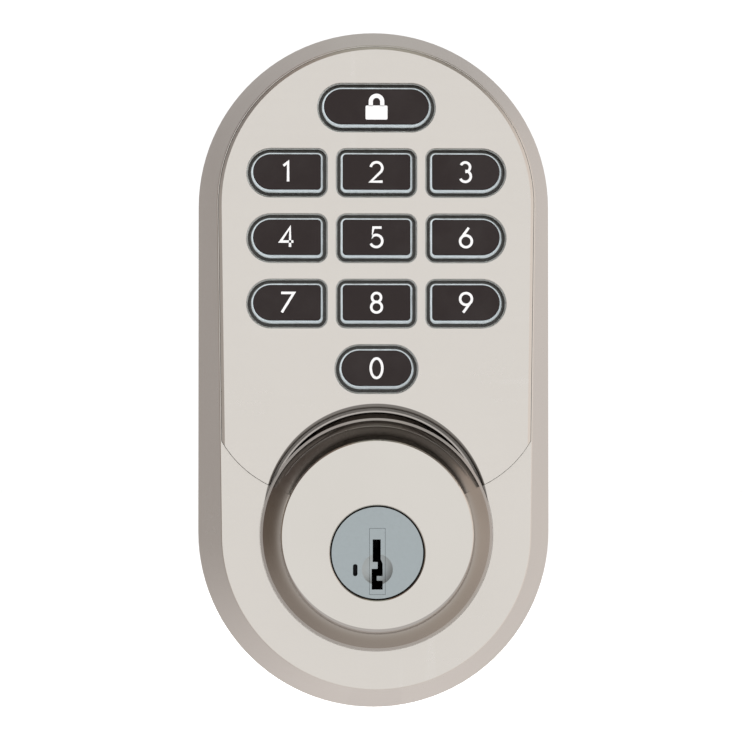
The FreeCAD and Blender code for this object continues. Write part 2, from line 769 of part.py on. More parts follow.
def beside_key(edge):
    """Whether an edge of the panel's front belongs to a key's aperture."""
    box = edge.BoundBox
    x, z = (box.XMin + box.XMax) / 2, (box.ZMin + box.ZMax) / 2
    return any(abs(x - size(kx)) <= size(f"({w}) / 2 + 2 * key_clearance")
               and abs(z - size(kz)) <= size("key_height / 2 + 2 * key_clearance")
               for _, kx, kz, w, _ in key_places())


dress(panel, "Chamfer", edges_at(panel.Shape, size(PANEL_FRONT), beside_key), "aperture_chamfer")
panel_bosses = new_sketch(panel, "bosses", PANEL_BACK)
for boss_x, boss_z in BOSS_PLACES:
    circle(panel_bosses, boss_x, boss_z, "boss_radius")
pad(panel, panel_bosses, "bosses_pad", f"{PANEL_BACK} - {BOARD_BACK}", inward=True)
boss_holes(panel, BOARD_BACK, f"{PANEL_BACK} - {BOARD_BACK} + panel_proud", "module_screw_radius",
           forward=True)

seal = new_body("panel_seal")
seal_sketch = new_sketch(seal, "outline", PANEL_FLOOR)
panel_outline(seal_sketch, "(panel_lip + panel_gap + seal_margin)", "(guard_base_radius + 2 * panel_recess)",
              "guard_z", "(panel_gap + seal_margin)")
pad(seal, seal_sketch, "pad", "seal_thickness")
window(seal, PANEL_BACK, "seal_thickness", "window_margin")
boss_holes(seal, PANEL_BACK, "seal_thickness", "boss_radius + boss_gap")

for key, key_x, key_z, width, ends in key_places():
    cap = new_body(f"key_{key}_cap")
    stem = new_sketch(cap, "stem", FLANGE_FRONT)
    rounded(stem, key_x, key_z, width, "key_height", "key_corner", ends)
    pad(cap, stem, "stem_pad", f"{RING_FRONT} + bezel_rise - {FLANGE_FRONT}")
    dress(cap, "Chamfer", edges_at(cap.Shape, size(f"{RING_FRONT} + bezel_rise")), "bezel_rise")
    flange = new_sketch(cap, "flange", FLANGE_BACK)
    rounded(flange, key_x, key_z, f"({width}) + 2 * key_flange", "key_height + 2 * key_flange",
            "key_corner + key_flange", ends)
    pad(cap, flange, "flange_pad", "flange_thickness")
    face_z = f"{key_z} + (bezel_bottom - bezel_top) / 2"
    face_height = "key_height - bezel_top - bezel_bottom"
    face_back = f"({RING_FRONT} + bezel_rise + face_rise - face_thickness)"
    pocket = new_sketch(cap, "face_pocket", f"{RING_FRONT} + bezel_rise")
    rounded(pocket, key_x, face_z, f"({width}) - 2 * (bezel_side - face_gap)",
            f"{face_height} + 2 * face_gap", "face_corner + face_gap", ends)
    cut(cap, pocket, "face_pocket_cut", "face_thickness - face_rise")
    face = new_body(f"key_{key}_face")
    face_sketch = new_sketch(face, "outline", face_back)
    rounded(face_sketch, key_x, face_z, f"({width}) - 2 * bezel_side", face_height, "face_corner", ends)
    pad(face, face_sketch, "pad", "face_thickness")
    dress(face, "Chamfer", edges_at(face.Shape, size(f"{face_back} + face_thickness")), "face_rise / 2")


# ---------------------------------------------------------------- keypad electronics
def module_outline(sketch, inset="0"):
    """The round-topped outline that the membrane, the board and the tray share."""
    half = f"({front_radius('top', CAVITY, 'wall + module_edge_gap')} - ({inset}))"
    top = f"({FRONT_TOP_Z} + {half})"
    bottom = f"(module_bottom + ({inset}))"
    rounded(sketch, "0", f"({top} + {bottom}) / 2", f"2 * {half}", f"{top} - {bottom}", "module_corner",
            "top")


membrane = plate("keypad_membrane", module_outline, MEMBRANE_BACK, "membrane_thickness")
window(membrane, CAVITY, f"{CAVITY} - {MEMBRANE_FLOOR}", "window_margin")
domes = new_sketch(membrane, "domes", MEMBRANE_BACK)
for _, key_x, key_z, _, _ in key_places():
    circle(domes, key_x, key_z, "dome_radius")
cut(membrane, domes, "domes_cut", "dome_depth", forward=True)
LED_PLACES = [(f"{side}column_pitch / 2", f"zero_row_z + {row} * row_pitch") for row in (1, 2, 3)
              for side in ("-", "")]
led_room = new_sketch(membrane, "led_room", MEMBRANE_BACK)
for led_x, led_z in LED_PLACES:
    circle(led_room, led_x, led_z, "led_size")
cut(membrane, led_room, "led_room_cut", "led_height + membrane_gap", forward=True)
boss_holes(membrane, CAVITY, "membrane_thickness", "boss_radius + boss_gap")

board = plate("keypad_board", module_outline, BOARD_BACK, "board_thickness")
boss_holes(board, MEMBRANE_BACK, "board_thickness", "boss_radius + boss_gap")

group("dome_contacts", [
    rod(f"contact_{key}", key_x, key_z, MEMBRANE_BACK, "contact_radius", "contact_height")
    for key, key_x, key_z, _, _ in key_places()])
group("backlight_leds", [
    block(f"led_{number}", led_x, led_z, MEMBRANE_BACK, "led_size", "led_size", "led_height")
    for number, (led_x, led_z) in enumerate(LED_PLACES)])

chip = block("controller_blank", "0", "chip_z", f"{BOARD_BACK} - chip_thickness", "chip_size", "chip_size",
             "chip_thickness")
keep(chip, "controller_chip")
buzzer_back = f"{BOARD_BACK} - buzzer_depth"
buzzer_case = rod("buzzer_case", "0", "buzzer_z", buzzer_back, "buzzer_radius", "buzzer_depth")
buzzer_port = rod("buzzer_port", "0", "buzzer_z", buzzer_back, "buzzer_port_radius", "buzzer_port_depth")
keep(cut_from("buzzer_whole", buzzer_case, buzzer_port), "buzzer")
header_back = f"{BOARD_BACK} - header_depth"
header_shell = block("header_shell", "0", "header_z", header_back, "header_width", "header_height",
                     "header_depth")
header_room = block("header_room", "0", "header_z", header_back, "header_width - 2 * header_wall",
                    "header_height - 2 * header_wall", "header_depth - header_wall")
keep(cut_from("header_whole", header_shell, header_room), "cable_header")

tray = plate("keypad_tray", module_outline, TRAY_BACK, "tray_thickness")
tray_opening = new_sketch(tray, "opening", BOARD_BACK)
rounded(tray_opening, "0", "tray_opening_z", "tray_opening_width", "tray_opening_height", "module_corner")
cut(tray, tray_opening, "opening_cut", "tray_thickness")
boss_holes(tray, BOARD_BACK, "tray_thickness", "module_screw_radius + boss_gap")

group("module_screws", [
    screw(f"module_screw_{number}", x, z, TRAY_BACK, "module_screw_radius",
          f"{PANEL_BACK} - {TRAY_BACK}")
    for number, (x, z) in enumerate(BOSS_PLACES)])


# ---------------------------------------------------------------- guard and lock cylinder
def spokes():
    """Where the three cylinder screws stand, round the guard's centre."""
    places = []
    for turn in (90, 210, 330):
        x = "0" if turn == 90 else f"cylinder_screw_circle * cos({turn} deg)"
        places.append((x, f"guard_z + cylinder_screw_circle * sin({turn} deg)"))
    return places


def guard_profile(sketch):
    """Half the guard's section, radius against depth: neck, seat, bead, hollow flank, round, face, bore."""
    seat_at = "body_depth - guard_seat"
    lip_at = "body_depth - guard_seat + guard_lip"
    inner = f"{CYLINDER_FRONT} + guard_fit"
    corners = [
        ("neck_radius", CAVITY), ("neck_radius", seat_at), ("guard_base_radius", seat_at),
        ("guard_base_radius", lip_at), ("guard_base_radius - guard_bead", f"{lip_at} + guard_bead_rise"),
        ("guard_face_radius + guard_round / 2", "guard_face_depth - guard_round"),
        ("guard_face_radius", "guard_face_depth"), ("0", "guard_face_depth"), ("0", inner),
        ("cylinder_radius + guard_fit", inner), ("cylinder_radius + guard_fit", CAVITY)]
    spots = [(size(radius), size(depth)) for radius, depth in corners]
    hollow, soft = size("guard_hollow"), size("guard_round / 2")
    bends = {4: (-hollow, 0), 5: (soft / 4, soft / 4)}    # how far two sides bow, in radius and depth
    items = []
    for number, start in enumerate(spots):
        end = spots[(number + 1) % len(spots)]
        if number in bends:
            aside, ahead = bends[number]
            middle = Vector((start[0] + end[0]) / 2 + aside, (start[1] + end[1]) / 2 + ahead, 0)
            items.append(sketch.addGeometry(Part.Arc(Vector(*start, 0), middle, Vector(*end, 0))))
        else:
            items.append(add_line(sketch, start, end))
    ends = []
    for item, start in zip(items, spots):
        point = sketch.getPoint(item, 1)
        ends.append(1 if math.dist((point.x, point.y), start) < 1e-6 else 2)
    for number, item in enumerate(items):
        after = (number + 1) % len(items)
        joint = (item, 3 - ends[number], items[after], ends[after])
        sketch.addConstraint(Sketcher.Constraint("Coincident", *joint))
        fix_point(sketch, item, ends[number], *corners[number])


def turn(body, profile, z="0"):
    """Add a round solid about an axis along Y at height z, from a section in radius and depth."""
    sketch = new_sketch(body, "section", z, role="XY_Plane")
    sketch.AttachmentOffset = Placement(Vector(0, 0, size(z)), Rotation(Vector(1, 0, 0), 180))
    profile(sketch)
    made = body.newObject("PartDesign::Revolution", f"{body.Name}_turn")
    made.Profile = sketch
    made.ReferenceAxis = (sketch, ["V_Axis"])
    made.Angle = 360
    doc.recompute()


def turned(label, profile, z="0"):
    body = new_body(label)
    turn(body, profile, z)
    return body


def steps(*corners):
    """A section of straight sides for `turned`, each corner a (radius, depth) pair."""
    return lambda sketch: polygon(sketch, list(corners))


guard = new_body("cylinder_guard")
rim_sketch = new_sketch(guard, "skirt_rim", SKIRT_FOOT)
segment(rim_sketch, ARCH_Z, SKIRT_RADIUS, SKIRT_CHORD)
pad(guard, rim_sketch, "skirt_rim_pad", "skirt_thickness")
skirt_low = new_sketch(guard, "skirt_low", SKIRT_BASE)
segment(skirt_low, ARCH_Z, f"{SKIRT_RADIUS} - skirt_rim", SKIRT_CHORD)
skirt_high = new_sketch(guard, "skirt_high", f"{FRONT} + skirt_top")
segment(skirt_high, "guard_z", "skirt_top_radius", SKIRT_CHORD)
loft(guard, "AdditiveLoft", skirt_low, skirt_high)
skirt_hole = new_sketch(guard, "skirt_hole", f"{FRONT} + skirt_top")
circle(skirt_hole, "0", "guard_z", "skirt_hole")
cut(guard, skirt_hole, "skirt_hole_cut", f"{FRONT} + skirt_top - {SKIRT_FOOT}")
turn(guard, guard_profile, "guard_z")
plug_window = new_sketch(guard, "plug_window", "guard_face_depth")
circle(plug_window, "0", "0", "plug_radius + plug_window_gap")
cut(guard, plug_window, "plug_window_cut", "guard_front_wall")
dress(guard, "Chamfer", edges_at(guard.Shape, size("guard_face_depth"),
                                 lambda edge: edge.Curve.Radius < size("plug_radius + 2 * plug_window_gap")),
      "plug_window_gap / 2")
guard_taps = new_sketch(guard, "taps", CAVITY)
for spoke_x, spoke_z in spokes():
    circle(guard_taps, spoke_x, spoke_z, "cylinder_screw_radius")
cut(guard, guard_taps, "taps_cut", "cylinder_screw_length - cylinder_flange_thickness", forward=True)

FLANGE_SEAT = f"({CAVITY} - cylinder_flange_thickness)"
cylinder = turned("cylinder_body", steps(
    ("0", "cylinder_back"), ("cylinder_radius", "cylinder_back"), ("cylinder_radius", FLANGE_SEAT),
    ("cylinder_flange_radius", FLANGE_SEAT), ("cylinder_flange_radius", CAVITY), ("cylinder_radius", CAVITY),
    ("cylinder_radius", CYLINDER_FRONT), ("0", CYLINDER_FRONT)), z="guard_z")
plug_bore = new_sketch(cylinder, "plug_bore", CYLINDER_FRONT)
circle(plug_bore, "0", "0", "plug_radius + plug_gap")
cut(cylinder, plug_bore, "plug_bore_cut", f"{CYLINDER_FRONT} - cylinder_back")
cylinder_drill = new_sketch(cylinder, "drill", CAVITY)
for spoke_x, spoke_z in spokes():
    circle(cylinder_drill, spoke_x, spoke_z, "cylinder_screw_radius + boss_gap")
cut(cylinder, cylinder_drill, "drill_cut", "cylinder_flange_thickness")

group("cylinder_screws", [
    screw(f"cylinder_screw_{number}", x, z, FLANGE_SEAT, "cylinder_screw_radius", "cylinder_screw_length")
    for number, (x, z) in enumerate(spokes())])


# ---------------------------------------------------------------- key plug
# The keyway's outline, x against z: a ward stands in from the left and one from the right.
KEYWAY = [
    ("keyway_left", "keyway_top"), ("keyway_left", "left_ward_top"), ("left_ward_tip", "left_ward_top"),
    ("left_ward_tip", "left_ward_bottom"), ("keyway_foot_left", "left_ward_bottom"),
    ("keyway_foot_left", "keyway_bottom"), ("keyway_foot_right", "keyway_bottom"),
    ("keyway_foot_right", "right_ward_bottom"), ("right_ward_tip", "right_ward_bottom"),
    ("right_ward_tip", "right_ward_top"), ("keyway_foot_right", "right_ward_top"),
    ("keyway_foot_right", "keyway_step_bottom"), ("keyway_right", "keyway_step_top"),
    ("keyway_right", "keyway_top")]


def keyway(body, depth, length, forward=False):
    sketch = new_sketch(body, "keyway", depth)
    polygon(sketch, KEYWAY)
    return cut(body, sketch, "keyway_cut", length, forward)


def oblong(body, name, depth, length, x, z, width, height, corners=None, forward=False):
    """Cut a plain or rounded oblong from a body."""
    sketch = new_sketch(body, name, depth)
    if corners:
        rounded(sketch, x, z, width, height, corners)
    else:
        left, right = f"({x}) - ({width}) / 2", f"({x}) + ({width}) / 2"
        low, high = f"({z}) - ({height}) / 2", f"({z}) + ({height}) / 2"
        polygon(sketch, [(left, low), (right, low), (right, high), (left, high)])
    return cut(body, sketch, f"{name}_cut", length, forward)


def dimple(body):
    """A shallow hollow that leads a key into the lower keyway."""
    before = body.Shape.Volume
    made = body.newObject("PartDesign::SubtractiveCone", f"{body.Name}_dimple")
    made.Placement = Placement(Vector(), FORWARD)
    made.Radius1 = 0
    bind(made, "Radius2", "dimple_radius")
    bind(made, "Height", "dimple_depth")
    bind(made, "Placement.Base.y", f"dimple_depth - {PLUG_FRONT}")
    bind(made, "Placement.Base.z", "dimple_z")
    doc.recompute()
    if body.Shape.Volume >= before:
        raise ValueError(f"{made.Name} cuts nothing")


def pin_depths():
    return [f"(first_pin - {number} * pin_pitch)" for number in range(int(size("pin_count")))]


PIN_FIT = "(pin_radius + pin_gap)"
LAST_PIN = "(first_pin - (pin_count - 1) * pin_pitch)"
CLIP_FRONT = "(cylinder_back - clip_play)"
CLIP_BACK = "(cylinder_back - clip_play - clip_thickness)"
plug = turned("key_plug", steps(
    ("0", "plug_back"), ("plug_radius", "plug_back"), ("plug_radius", CLIP_BACK),
    ("clip_groove_radius", CLIP_BACK), ("clip_groove_radius", CLIP_FRONT), ("plug_radius", CLIP_FRONT),
    ("plug_radius", PLUG_FRONT), ("0", PLUG_FRONT)))
insert_height = "(insert_top - insert_bottom)"
insert_z = "((insert_top + insert_bottom) / 2)"
oblong(plug, "insert_seat", PLUG_FRONT, "insert_thickness", "0", insert_z, "insert_width", insert_height)
keyway(plug, PLUG_FRONT, f"{PLUG_FRONT} - keyway_end")
oblong(plug, "tool_slot", PLUG_FRONT, "tool_slot_depth", "tool_slot_x", "tool_slot_z", "tool_slot_width",
       "tool_slot_height", "tool_slot_width / 2 - face_gap / 2")
oblong(plug, "blade_slot", "plug_back", "blade_seat - plug_back", "0", "0", "blade_thickness", "blade_width",
       forward=True)
RACK_FRONT = "(first_pin + pin_radius + pin_gap + rack_margin)"
RACK_BACK = f"({LAST_PIN} - pin_radius - pin_gap - rack_margin)"
oblong(plug, "rack_room", RACK_FRONT, f"{RACK_FRONT} - {RACK_BACK}", "rack_x + rack_width / 2",
       "(rack_top + rack_bottom) / 2", "rack_width", "rack_top - rack_bottom")
oblong(plug, "sidebar_room", "sidebar_front", "sidebar_front - sidebar_back",
       "-(sidebar_floor + plug_radius + overcut) / 2", "sidebar_z", "plug_radius + overcut - sidebar_floor",
       "sidebar_height + 2 * sidebar_gap")
oblong(plug, "cover_room", RACK_FRONT, f"{RACK_FRONT} - {RACK_BACK}", "0",
       f"({COVER_FOOT} + plug_radius + overcut) / 2", "cover_width", f"plug_radius + overcut - {COVER_FOOT}")
pin_bores = new_sketch(plug, "pin_bores", COVER_FOOT, role="XY_Plane")
for pin_depth in pin_depths():
    circle(pin_bores, "0", f"-{pin_depth}", PIN_FIT)
cut(plug, pin_bores, "pin_bores_cut", f"{COVER_FOOT} - keyway_top + pin_gap")
dimple(plug)

insert = new_body("keyway_insert")
insert_sketch = new_sketch(insert, "outline", f"{PLUG_FRONT} - insert_thickness")
half_insert = "(insert_width / 2 - sidebar_gap)"
insert_low, insert_high = "insert_bottom + sidebar_gap", "insert_top - sidebar_gap"
polygon(insert_sketch, [(f"-{half_insert}", insert_low), (half_insert, insert_low),
                        (half_insert, insert_high), (f"-{half_insert}", insert_high)])
pad(insert, insert_sketch, "pad", "insert_thickness")
keyway(insert, PLUG_FRONT, "insert_thickness")
dimple(insert)

group("follower_pins", [
    primitive("Cylinder", f"pin_{number}", "0", depth, "keyway_top", Radius="pin_radius",
              Height="pin_length")
    for number, depth in enumerate(pin_depths())])
group("pin_springs", [
    coil(f"pin_spring_{number}", "pin_spring_length", "(pin_radius - spring_wire)",
         Placement(Vector(0, -size(depth), size(f"{SPRING_FOOT} + spring_wire")), Rotation()))
    for number, depth in enumerate(pin_depths())])
keep(block("cover_strip", "0", f"{COVER_FOOT} + cover_thickness / 2", RACK_BACK,
           "cover_width - 2 * sidebar_gap", "cover_thickness",
           f"{RACK_FRONT} - {RACK_BACK} - sidebar_gap"), "spring_cover")
group("wafer_racks", [
    block(f"rack_{number}", "rack_x + rack_width / 2", "(rack_top + rack_bottom) / 2",
          f"{depth} - rack_thickness / 2", "rack_width - 2 * sidebar_gap",
          "rack_top - rack_bottom - 2 * sidebar_gap", "rack_thickness")
    for number, depth in enumerate(pin_depths())])

sidebar_blank = block("sidebar_blank", "-(sidebar_floor + plug_radius - 2 * pin_gap) / 2", "sidebar_z",
                      "sidebar_back + sidebar_gap",
                      "plug_radius - sidebar_floor - 2 * pin_gap - sidebar_slack",
                      "sidebar_height", "sidebar_front - sidebar_back - 2 * sidebar_gap")
spring_depths = ["(sidebar_front - 2 * sidebar_spring_inset)", "(sidebar_back + 2 * sidebar_spring_inset)"]
FACE_LEFT = Rotation(Vector(0, 1, 0), -90)    # turns a primitive's +Z to face -X
spring_bores = [
    primitive("Cylinder", f"sidebar_bore_{number}", "-sidebar_floor", depth, "sidebar_z", FACE_LEFT,
              Radius="sidebar_spring_inset - 2 * pin_gap", Height="sidebar_spring_length + spring_wire")
    for number, depth in enumerate(spring_depths)]
keep(cut_from("sidebar_whole", sidebar_blank, fuse("sidebar_bores", *spring_bores)), "sidebar")
group("sidebar_springs", [
    coil(f"sidebar_spring_{number}", "sidebar_spring_length", "(sidebar_spring_inset - 2 * spring_wire)",
         Placement(Vector(-size("sidebar_floor + spring_wire"), -size(depth), size("sidebar_z")), FACE_LEFT))
    for number, depth in enumerate(spring_depths)])

clip_ring = rod("clip_ring", "0", "0", CLIP_BACK, "clip_radius", "clip_thickness")
clip_bore = rod("clip_bore", "0", "0", CLIP_BACK, "clip_groove_radius", "clip_thickness")
clip_mouth = block("clip_mouth", "0", "-(clip_radius + overcut) / 2", CLIP_BACK, "clip_opening",
                   "clip_radius + overcut", "clip_thickness")
keep(cut_from("clip_whole", clip_ring, fuse("clip_void", clip_bore, clip_mouth)), "plug_retainer")

blade = new_body("torque_blade")
blade_sketch = new_sketch(blade, "section", "blade_seat")
rounded(blade_sketch, "0", "0", "blade_thickness", "blade_width", "blade_thickness / 4")
pad(blade, blade_sketch, "pad", "blade_seat + blade_reach", inward=True)


# ---------------------------------------------------------------- back plate, gasket, posts, grommet
def post_places():
    return [(f"{sign}post_spacing / 2", "0") for sign in ("-", "")]


def back_outline_of(sketch):
    outline_at(sketch, PLATE_FRONT, "wall + plate_gap")


def back_holes(body, depth, length, post_hole, cable_hole, screw_hole):
    sketch = new_sketch(body, "holes", depth)
    circle(sketch, "0", "0", "plate_hole")
    circle(sketch, "0", "cable_z", cable_hole)
    for x, z in post_places():
        circle(sketch, x, z, post_hole)
    for x, z in plate_boss_places():
        circle(sketch, x, z, screw_hole)
    return cut(body, sketch, "holes_cut", length)


back_plate = plate("back_plate", back_outline_of, "gasket_thickness", "plate_thickness")
back_holes(back_plate, PLATE_FRONT, "plate_thickness", "post_spigot_radius", "grommet_radius",
           "plate_screw_radius + boss_gap")
sunk = new_sketch(back_plate, "sunk_heads", "gasket_thickness")
for boss_x, boss_z in plate_boss_places():
    circle(sunk, boss_x, boss_z, "head_radius + boss_gap")
cut(back_plate, sunk, "sunk_heads_cut", "sunk_head_height", forward=True)

gasket = plate("door_gasket", back_outline_of, "0", "gasket_thickness")
back_holes(gasket, "gasket_thickness", "gasket_thickness", "post_radius + boss_gap",
           "grommet_flange + boss_gap", "head_radius")

posts = []
for number, (post_x, post_z) in enumerate(post_places()):
    shaft = rod(f"post_shaft_{number}", post_x, post_z, "-post_reach", "post_radius",
                "post_reach + gasket_thickness")
    spigot = rod(f"post_spigot_{number}", post_x, post_z, "gasket_thickness", "post_spigot_radius",
                 "plate_thickness")
    rivet = rod(f"post_rivet_{number}", post_x, post_z, PLATE_FRONT, "post_rivet_radius",
                "post_rivet_height")
    tap = rod(f"post_tap_{number}", post_x, post_z, "-post_reach", "post_tap_radius",
              f"post_reach + {PLATE_FRONT} + post_rivet_height - post_blind")
    posts.append(cut_from(f"post_{number}", fuse(f"post_solid_{number}", shaft, spigot, rivet), tap))
group("mounting_posts", posts)

group("plate_screws", [
    screw(f"plate_screw_{number}", x, z, "gasket_thickness + sunk_head_height", "plate_screw_radius",
          "plate_screw_length + plate_thickness - sunk_head_height", ("head_radius", "sunk_head_height"))
    for number, (x, z) in enumerate(plate_boss_places())])

grommet = turned("cable_grommet", steps(
    ("cable_radius", "0"), ("grommet_flange", "0"), ("grommet_flange", "gasket_thickness"),
    ("grommet_radius", "gasket_thickness"), ("grommet_radius", PLATE_FRONT), ("grommet_flange", PLATE_FRONT),
    ("grommet_flange", f"{PLATE_FRONT} + grommet_lip"), ("cable_radius", f"{PLATE_FRONT} + grommet_lip")),
    z="cable_z")


# ---------------------------------------------------------------- checks and files
doc.recompute()
for item in doc.Objects:
    if "Invalid" in item.State or "Error" in item.State:
        raise ValueError(f"{item.Name} failed: {item.State}")
for part in parts:
    if part.Shape.isNull() or not part.Shape.isValid() or not part.Shape.Solids:
        raise ValueError(f"{part.Label} has no valid solid")

os.makedirs("parts", exist_ok=True)
for part in parts:
    part.Shape.exportStep(f"parts/{part.Label}.step")
print(f"{len(parts)} sub-parts written")
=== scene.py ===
import json
import math
import bmesh
import bpy
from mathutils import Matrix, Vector

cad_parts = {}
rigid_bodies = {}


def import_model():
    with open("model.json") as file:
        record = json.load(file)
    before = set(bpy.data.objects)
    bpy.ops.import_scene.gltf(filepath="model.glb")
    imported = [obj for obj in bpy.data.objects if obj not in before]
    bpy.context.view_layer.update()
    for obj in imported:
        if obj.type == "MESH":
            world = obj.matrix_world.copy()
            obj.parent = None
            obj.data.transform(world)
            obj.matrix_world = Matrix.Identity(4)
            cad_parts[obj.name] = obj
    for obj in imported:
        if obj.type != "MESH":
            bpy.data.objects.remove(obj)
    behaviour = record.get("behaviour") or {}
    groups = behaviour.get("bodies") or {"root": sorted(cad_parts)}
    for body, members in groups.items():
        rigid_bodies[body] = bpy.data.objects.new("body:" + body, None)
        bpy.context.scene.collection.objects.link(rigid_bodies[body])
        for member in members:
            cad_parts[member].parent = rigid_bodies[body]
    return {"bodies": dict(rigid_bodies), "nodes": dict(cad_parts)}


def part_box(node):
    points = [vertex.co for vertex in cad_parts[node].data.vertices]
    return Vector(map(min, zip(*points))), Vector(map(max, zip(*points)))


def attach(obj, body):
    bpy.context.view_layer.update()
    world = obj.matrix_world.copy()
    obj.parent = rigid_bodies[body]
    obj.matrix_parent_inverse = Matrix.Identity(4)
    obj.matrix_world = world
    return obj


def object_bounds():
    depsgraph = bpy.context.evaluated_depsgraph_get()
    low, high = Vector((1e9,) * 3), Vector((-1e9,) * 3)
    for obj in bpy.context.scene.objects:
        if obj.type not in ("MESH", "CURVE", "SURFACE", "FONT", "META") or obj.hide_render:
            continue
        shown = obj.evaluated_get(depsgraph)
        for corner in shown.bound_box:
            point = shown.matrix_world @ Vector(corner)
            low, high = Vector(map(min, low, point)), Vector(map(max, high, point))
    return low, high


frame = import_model()
cadBox = [list(corner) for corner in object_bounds()]
mm = 0.001
print("stage: frame loaded")


# node helpers
def wire(tree, source, target):
    tree.links.new(source, target)


def addNode(tree, kind, **settings):
    node = tree.nodes.new(kind)
    for name, value in settings.items():
        setattr(node, name, value)
    return node


def noise(tree, vector, scale, detail=3.0, rough=0.5, squash=None):
    # squash stretches the pattern: a small number makes long streaks on that axis
    if squash:
        mapping = addNode(tree, "ShaderNodeMapping")
        mapping.inputs["Scale"].default_value = squash
        wire(tree, vector, mapping.inputs["Vector"])
        vector = mapping.outputs["Vector"]
    node = addNode(tree, "ShaderNodeTexNoise")
    node.inputs["Detail"].default_value = detail
    node.inputs["Roughness"].default_value = rough
    if isinstance(scale, float):
        node.inputs["Scale"].default_value = scale
    else:
        wire(tree, scale, node.inputs["Scale"])
    wire(tree, vector, node.inputs["Vector"])
    return node.outputs["Fac"]


def remap(tree, value, low, high, newLow, newHigh):
    node = addNode(tree, "ShaderNodeMapRange")
    wire(tree, value, node.inputs["Value"])
    ends = (("From Min", low), ("From Max", high), ("To Min", newLow), ("To Max", newHigh))
    for name, number in ends:
        if isinstance(number, float):
            node.inputs[name].default_value = number
        else:
            wire(tree, number, node.inputs[name])
    return node.outputs["Result"]


def maths(tree, operation, one, two=None):
    node = addNode(tree, "ShaderNodeMath", operation=operation)
    for slot, value in zip(node.inputs, (one, two)):
        if isinstance(value, (int, float)):
            slot.default_value = value
        elif value is not None:
            wire(tree, value, slot)
    return node.outputs[0]


def tint(tree, factor, one, two, blend="MIX"):
    node = addNode(tree, "ShaderNodeMix", data_type="RGBA", blend_type=blend)
    for slot, value in ((0, factor), (6, one), (7, two)):
        if isinstance(value, (int, float, tuple)):
            node.inputs[slot].default_value = value
        else:
            wire(tree, value, node.inputs[slot])
    return node.outputs[2]


def newGroup(name, inputs, outputs):
    # inputs and outputs are (name, kind, value) rows
    group = bpy.data.node_groups.new(name, "ShaderNodeTree")
    for label, kind, value in inputs:
        socket = group.interface.new_socket(name=label, in_out="INPUT", socket_type=kind)
        if value is not None:
            socket.default_value = value
    for label, kind in outputs:
        group.interface.new_socket(name=label, in_out="OUTPUT", socket_type=kind)
    return group, addNode(group, "NodeGroupInput"), addNode(group, "NodeGroupOutput")


floatKind, colorKind = "NodeSocketFloat", "NodeSocketColor"


# effects that several finishes share
def makePlatedGrain():
    # satin plate: cloudy tone, fine brushed streaks and a tiny pitted height
    group, start, end = newGroup("platedGrain", [
        ("Tone", colorKind, (0.6, 0.6, 0.6, 1.0)), ("Tone Shift", floatKind, 0.03),
        ("Gloss Low", floatKind, 0.3), ("Gloss High", floatKind, 0.4), ("Streaks", floatKind, 0.5)],
        [("Color", colorKind), ("Roughness", floatKind), ("Height", floatKind)])
    place = addNode(group, "ShaderNodeTexCoord").outputs["Object"]
    clouds = noise(group, place, 45.0, 4.0, 0.55)
    fine = noise(group, place, 2600.0, 2.0, 0.6)
    streaks = noise(group, place, 900.0, 3.0, 0.6, (0.05, 1.0, 1.0))
    warm = tint(group, remap(group, clouds, 0.35, 0.65, 0.0, 1.0), (1.0, 0.985, 0.965, 1.0),
                (0.97, 0.985, 1.0, 1.0))
    toned = tint(group, start.outputs["Tone Shift"], start.outputs["Tone"], warm, "MULTIPLY")
    shade = remap(group, clouds, 0.3, 0.7, maths(group, "SUBTRACT", 1.0, start.outputs["Tone Shift"]), 1.0)
    dark = addNode(group, "ShaderNodeVectorMath", operation="SCALE")
    wire(group, toned, dark.inputs[0])
    wire(group, shade, dark.inputs["Scale"])
    wire(group, dark.outputs[0], end.inputs["Color"])
    streaked = maths(group, "ADD", maths(group, "MULTIPLY", streaks, start.outputs["Streaks"]),
                     maths(group, "MULTIPLY", fine, maths(group, "SUBTRACT", 1.0, start.outputs["Streaks"])))
    mixed = maths(group, "ADD", maths(group, "MULTIPLY", streaked, 0.65),
                  maths(group, "MULTIPLY", clouds, 0.35))
    rough = remap(group, mixed, 0.35, 0.65, start.outputs["Gloss Low"], start.outputs["Gloss High"])
    wire(group, rough, end.inputs["Roughness"])
    wire(group, streaked, end.inputs["Height"])
    return group


def makeHandling():
    # finger marks and hairline scratches, 0 where clean
    group, start, end = newGroup("handlingMarks", [
        ("Smudges", floatKind, 0.5), ("Scratches", floatKind, 0.3)],
        [("Smudge Mask", floatKind), ("Scratch Mask", floatKind)])
    place = addNode(group, "ShaderNodeTexCoord").outputs["Object"]
    patches = noise(group, place, 60.0, 5.0, 0.7)
    smudge = remap(group, patches, 0.55, 0.75, 0.0, 1.0)
    wire(group, maths(group, "MULTIPLY", smudge, start.outputs["Smudges"]), end.inputs["Smudge Mask"])
    lines = noise(group, place, 420.0, 1.0, 0.4, (1.0, 1.0, 0.04))
    cross = noise(group, place, 380.0, 1.0, 0.4, (0.05, 1.0, 0.9))
    thin = maths(group, "MAXIMUM", remap(group, lines, 0.74, 0.78, 0.0, 1.0),
                 remap(group, cross, 0.75, 0.79, 0.0, 1.0))
    wire(group, maths(group, "MULTIPLY", thin, start.outputs["Scratches"]), end.inputs["Scratch Mask"])
    return group


